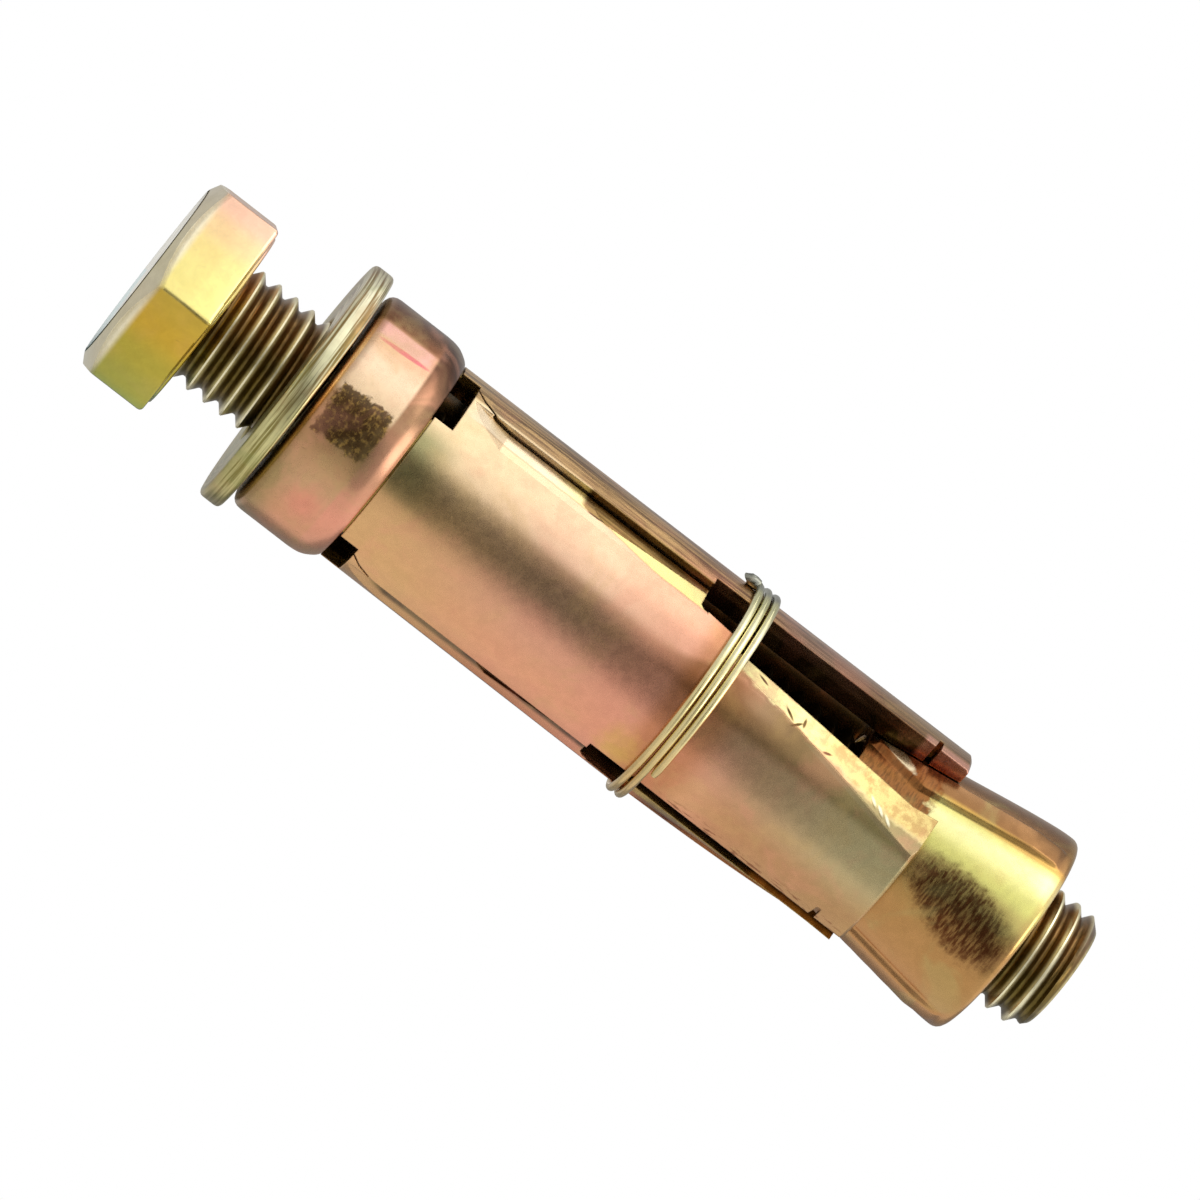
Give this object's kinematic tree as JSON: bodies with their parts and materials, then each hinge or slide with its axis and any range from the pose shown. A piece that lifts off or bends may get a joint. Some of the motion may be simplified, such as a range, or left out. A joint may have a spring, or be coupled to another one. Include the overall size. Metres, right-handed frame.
{
  "type": "loose bolt shield anchor",
  "caption": "Expansion anchor: hex bolt and washer through a collar and pressed shield segments held by a wire ring, with a tapered expander nut.",
  "frame": {"origin": "centre of the hex head's top face, on which the anchor stands", "axes": "+Z along the bolt's axis, from the head towards its tip; the first shield segment faces -Y"},
  "size_m": [0.0244, 0.0244, 0.098],
  "materials": {
    "bolt_plating": "yellow zinc plated steel",
    "washer_plating": "yellow zinc plated steel",
    "collar_plating": "yellow zinc plated steel",
    "shield_plating": "yellow zinc plated steel",
    "ring_plating": "yellow zinc plated spring wire",
    "nut_plating": "yellow zinc plated steel"
  },
  "bodies": {
    "shield_collar": {"collar": "collar_plating", "spring_ring": "ring_plating"},
    "bolt": {"hex_bolt": "bolt_plating"},
    "washer": {"washer": "washer_plating"},
    "nut": {"expander_nut": "nut_plating"},
    "segment_1": {"shield_segment_1": "shield_plating"},
    "segment_2": {"shield_segment_2": "shield_plating"},
    "segment_3": {"shield_segment_3": "shield_plating"}
  },
  "joints": [
    {"name": "bolt_turn", "type": "hinge", "parent": "shield_collar", "child": "bolt", "pos_m": [0, 0, 0.05], "axis": [0, 0, 1], "range_deg": [0, 1080]},
    {"name": "nut_climb", "type": "slide", "parent": "shield_collar", "child": "nut", "axis": [0, 0, -1], "range_m": [0, 0.00526]},
    {"name": "washer_slide", "type": "slide", "parent": "shield_collar", "child": "washer", "axis": [0, 0, -1], "range_m": [0, 0.0073]},
    {"name": "segment_1_spread", "type": "hinge", "parent": "shield_collar", "child": "segment_1", "pos_m": [0, -0.0096, 0.02565], "axis": [1, 0, 0], "range_deg": [0, 1.2], "deforming": ["spring_ring"]},
    {"name": "segment_2_spread", "type": "hinge", "parent": "shield_collar", "child": "segment_2", "pos_m": [-0.00831, 0.0048, 0.02565], "axis": [-0.5, -0.866, 0], "range_deg": [0, 1.2]},
    {"name": "segment_3_spread", "type": "hinge", "parent": "shield_collar", "child": "segment_3", "pos_m": [0.00831, 0.0048, 0.02565], "axis": [-0.5, 0.866, 0], "range_deg": [0, 1.2]}
  ],
  "couplings": [
    {"joint": "nut_climb", "follows": "bolt_turn", "m_per_rad": 0.00027852},
    {"joint": "segment_1_spread", "follows": "bolt_turn", "ratio": 0.0011111},
    {"joint": "segment_2_spread", "follows": "bolt_turn", "ratio": 0.0011111},
    {"joint": "segment_3_spread", "follows": "bolt_turn", "ratio": 0.0011111}
  ]
}
